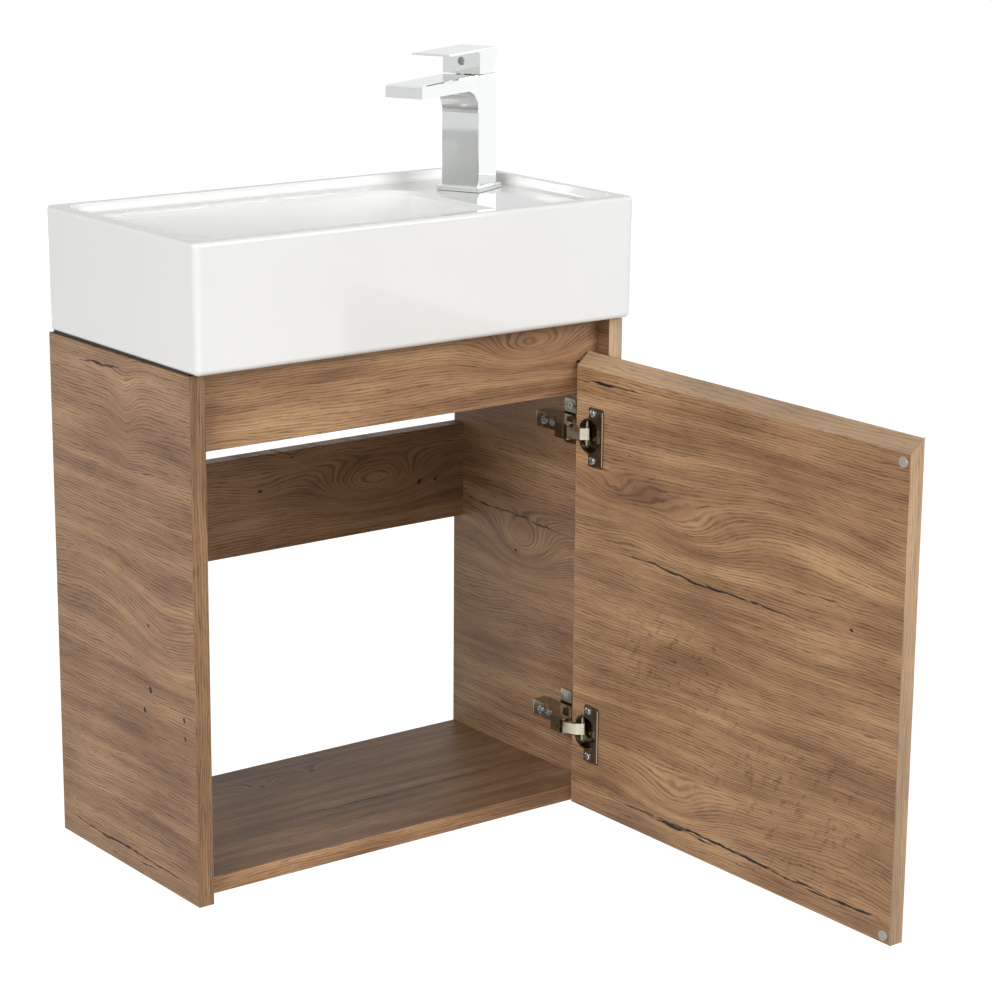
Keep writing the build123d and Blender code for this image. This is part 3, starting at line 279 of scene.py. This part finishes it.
# Carcass boards: 16 mm laminated chipboard, the print running level on every face.
# The light factor on each board is painted light and shade: the left side a little darker, the inner boards much
# darker, the front rail brighter.
wear(["side_panel_left"], oak("oak_left_side", "Y", "Z", 1.7,
     knots=[(-141, 150, 20, 42, 12), (-205, -60, 60, 34, 16), (-60, -20, 90, 40, -12)],
     checks=[(-95, 186, 45, 1.1, -0.06), (-180, 96, 16, 0.7, -0.07), (-125, -285, 132, 1.0, 0.02),
             (-165, -292, 24, 0.9, -0.05), (-20, 170, 30, 0.5, 0.0), (-176, -112, 3.2, 1.9, 0.3),
             (-165, -135, 3.2, 2.0, 0.3), (-236, -126, 2.6, 1.8, 0.3), (-237, -143, 2.6, 1.6, 0.3),
             (-175, -49, 2.4, 1.3, 0.3)], light=0.90))
wear(["side_panel_right"], oak("oak_right_side", "Y", "Z", 5.3,
     knots=[(-120, -62, 52, 30, 44), (-30, -140, 80, 36, 12)],
     checks=[(-110, -31, 112, 1.0, 0.03), (-45, -56, 34, 0.5, 0.4), (-155, -60, 34, 0.5, -0.5),
             (-109, -69, 2.6, 1.8, 0.3), (-20, -215, 18, 0.4, 0.9)], light=0.78))
wear(["bottom_panel"], oak("oak_bottom", "X", "Y", 9.1, knots=[(16, -46, 26, 12, 14), (-51, -57, 30, 14, 16)],
     checks=[(40, -150, 195, 0.9, 0.0), (-16, -186, 24, 0.8, 0.12), (16, -46, 4.0, 1.7, 0.1),
             (-51, -57, 4.0, 1.5, 0.1)], light=0.72))
wear(["front_rail"], oak("oak_front_rail", "X", "Z", 12.9, knots=[(150, 178, 62, 20, 34), (208, 156, 30, 12, 10)],
     checks=[(208, 157, 3.0, 1.4, 0.3)], light=1.12))
wear(["rear_rail"], oak("oak_rear_rail", "X", "Z", 15.4,
     knots=[(117, 2, 64, 22, 46), (-23, 13, 34, 14, 10), (16, 43, 26, 10, 8)],
     checks=[(175, -5, 3.4, 2.2, 0.2), (196, -5, 3.0, 1.9, 0.2), (-23, 13, 3.6, 1.7, 0.2),
             (16, 43, 2.8, 1.6, 0.2)], light=0.74))


# Edge bands: 1 mm plastic strips with the same print run along their length.
# The light factor is painted light and shade: the left band darkened, the right, foot and door bands brightened. The
# pale mix on the right and door bands is a painted highlight.
wear(["side_band_left"], oak("oak_band_left", "Z", "X", 21.2, light=0.84))
wear(["side_band_right"], oak("oak_band_right", "Z", "X", 24.6, wash=0.35, light=1.35))
wear(["bottom_band"], oak("oak_band_bottom", "X", "Z", 27.0, light=1.4))
wear(["front_rail_band"], oak("oak_band_rail", "X", "Y", 29.3))
wear(["door_band_free", "door_band_hinge"], oak("oak_band_door", "Z", "X", 31.8, wash=0.25, light=1.45))
wear(["door_band_bottom"], oak("oak_band_door_foot", "Y", "X", 33.7))


# Door: the print runs level, with a swirl below the upper hinge, two long black checks and ray
# flecks near the foot. The finger bevel has its own strip of paper, paled and brightened as a painted highlight.
# The door's face is brightened by its light factor, painted light.
wear(["door_panel"], oak("oak_door", "Y", "Z", 36.5,
     knots=[(-410, 24, 74, 24, 22), (-300, 36, 60, 20, 17), (-350, 2, 60, 14, -9), (-560, 60, 120, 50, -16), (-400, -255, 60, 26, 20),
            (-640, -225, 90, 40, -14)],
     checks=[(-292, 143, 62, 1.1, -0.02), (-440, -24, 156, 1.1, 0.01), (-601, 0, 84, 0.5, -0.02),
             (-475, -279, 232, 1.15, 0.012), (-410, -281, 62, 1.3, 0.03), (-640, -282, 60, 1.2, -0.03),
             (-325, 79, 2.4, 0.9, 0.3), (-638, -20, 3.0, 1.3, 0.3)],
     flecks=[(-560, -205, 190, 95), (-400, -120, 120, 70)], light=1.12))
bevel = oak("oak_bevel", "Y", "X", 44.1, wash=0.30, light=1.25)
door_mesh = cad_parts["door_panel"].data
door_mesh.materials.append(bevel)
for face in door_mesh.polygons:
    if 0.3 < face.normal.z < 0.95 and face.center.z > 0.1:
        face.material_index = 1


# Dowels: plain beech, hidden in the joints.
made, tree, shader = blank("beech")
beech_grain = add(tree, "ShaderNodeMapping", Vector=add(tree, "ShaderNodeTexCoord").outputs["Object"],
                  Scale=(30.0, 900.0, 900.0))
beech = add(tree, "ShaderNodeTexNoise", Vector=beech_grain.outputs[0], Scale=1.0, Detail=2.0)
tone = add(tree, "ShaderNodeMix", {"data_type": "RGBA"}, Factor=beech.outputs["Fac"],
           A=linear("#b98d5f"), B=linear("#dcb98b"))
tree.links.new(tone.outputs["Result"], shader.inputs["Base Color"])
shader.inputs["Roughness"].default_value = 0.6
wear(["dowels_left", "dowels_right"], made)


# Basin: vitreous china under a clear white glaze, with the faint orange peel of a fired glaze.
made, tree, shader = blank("white_glaze")
china = add(tree, "ShaderNodeTexCoord").outputs["Object"]
peel = add(tree, "ShaderNodeTexNoise", Vector=china, Scale=55.0, Detail=2.0)
cast = add(tree, "ShaderNodeTexNoise", Vector=china, Scale=7.0, Detail=1.0)
tone = add(tree, "ShaderNodeMix", {"data_type": "RGBA"}, Factor=cast.outputs["Fac"],
           A=linear("#eeeeec"), B=linear("#f3f3f1"))
tree.links.new(tone.outputs["Result"], shader.inputs["Base Color"])
relief = add(tree, "ShaderNodeBump", Height=peel.outputs["Fac"], Distance=0.0001, Strength=0.12)
tree.links.new(relief.outputs[0], shader.inputs["Normal"])
shader.inputs["Roughness"].default_value = 0.09
shader.inputs["Coat Weight"].default_value = 0.3
shader.inputs["Coat Roughness"].default_value = 0.04
wear(["basin"], made)


# Silicone bed and rubber gaskets: soft, dark and dull. The bed's near black is painted shade, the shadowed gap under
# the basin's edge.
def rubber(name, code, rough):
    made, tree, shader = blank(name)
    fine = add(tree, "ShaderNodeTexNoise", Vector=add(tree, "ShaderNodeTexCoord").outputs["Object"],
               Scale=700.0, Detail=2.0)
    tone = add(tree, "ShaderNodeMix", {"data_type": "RGBA"}, Factor=fine.outputs["Fac"],
               A=linear(code), B=[c * 1.5 for c in linear(code)[:3]] + [1])
    tree.links.new(tone.outputs["Result"], shader.inputs["Base Color"])
    shader.inputs["Roughness"].default_value = rough
    return made


# Painted shade: the silicone bed is near black to stand for the shadowed gap under the basin.
wear(["basin_bead_left", "basin_bead_right"], rubber("silicone_painted_shade", "#171310", 0.5))
wear(["waste_top_gasket", "waste_under_gasket", "tap_base_gasket", "tap_clamp_gasket"],
     rubber("black_rubber", "#141414", 0.75))


# Metals: chrome plate on the tap and waste, nickel plate on the hinges, zinc on the screws.
def metal(name, dark, pale, rough, rougher, grain_mm, bump=0.0):
    """Plated metal whose tone and roughness drift between two values."""
    made, tree, shader = blank(name)
    spots = add(tree, "ShaderNodeTexNoise", Vector=add(tree, "ShaderNodeTexCoord").outputs["Object"],
                Scale=1000.0 / grain_mm, Detail=3.0)
    tone = add(tree, "ShaderNodeMix", {"data_type": "RGBA"}, Factor=spots.outputs["Fac"],
               A=linear(dark), B=linear(pale))
    tree.links.new(tone.outputs["Result"], shader.inputs["Base Color"])
    gloss = add(tree, "ShaderNodeMapRange", Value=spots.outputs["Fac"], From_Min=0.3, From_Max=0.7,
                To_Min=rough, To_Max=rougher)
    tree.links.new(gloss.outputs[0], shader.inputs["Roughness"])
    shader.inputs["Metallic"].default_value = 1.0
    if bump:
        relief = add(tree, "ShaderNodeBump", Height=spots.outputs["Fac"], Distance=0.0001, Strength=bump)
        tree.links.new(relief.outputs[0], shader.inputs["Normal"])
    return made


chrome = metal("chrome_plate", "#e8ebeb", "#f2f4f4", 0.03, 0.07, 30.0)
wear(["tap_base_plate", "tap_body", "tap_handle", "waste_body", "waste_plug"], chrome)
wear(["tap_handle_plug", "tap_spindle"], metal("dark_chrome", "#6d6d6b", "#b9b9b5", 0.10, 0.22, 2.5, 0.3))
brass = metal("turned_brass", "#b08d4c", "#cfae6a", 0.22, 0.38, 4.0, 0.2)
wear(["waste_nut", "tap_cartridge_nut", "tap_clamp_nut"], brass)
zinc = metal("zinc_plate", "#8c979f", "#c3cbd0", 0.16, 0.32, 3.0, 0.25)
wear(["tap_stud", "tap_clamp_plate", "hanger_plate_left", "hanger_plate_right", "hanger_screws_left",
      "hanger_screws_right", "hinge_cup_screws_upper", "hinge_cup_screws_lower",
      "hinge_plate_screws_upper", "hinge_plate_screws_lower", "hinge_adjusters_upper",
      "hinge_adjusters_lower"], zinc)
# The hinge nickel comes in two copies: plates, arms, cups and pins darkened, painted shade for the dark wood they
# mirror, and the links paler, a painted highlight.
shaded_nickel = metal("shaded_nickel_plate", "#8d8577", "#aca391", 0.10, 0.20, 9.0, 0.1)
wear(["hinge_plate_upper", "hinge_plate_lower", "hinge_arm_upper", "hinge_arm_lower",
      "hinge_cup_upper", "hinge_cup_lower", "hinge_arm_pins", "hinge_cup_pins"], shaded_nickel)
wear(["hinge_link_upper", "hinge_link_lower"], metal("highlit_nickel", "#aea695", "#d2cab9", 0.08, 0.18, 9.0))


# Plastics: the cartridge's blue shell and the aerator's grey insert.
wear(["tap_cartridge"], rubber("blue_plastic", "#24508c", 0.4))
wear(["tap_aerator"], rubber("grey_plastic", "#8d9092", 0.45))


# Buffers: clear soft domes, frosted by their own thickness.
made, tree, shader = blank("clear_buffer")
frost = add(tree, "ShaderNodeTexNoise", Vector=add(tree, "ShaderNodeTexCoord").outputs["Object"],
            Scale=900.0, Detail=2.0)
tone = add(tree, "ShaderNodeMix", {"data_type": "RGBA"}, Factor=frost.outputs["Fac"],
           A=linear("#b4ada2"), B=linear("#cfc9be"))
tree.links.new(tone.outputs["Result"], shader.inputs["Base Color"])
shader.inputs["Roughness"].default_value = 0.3
shader.inputs["Transmission Weight"].default_value = 0.25
wear(["door_bumpers"], made)
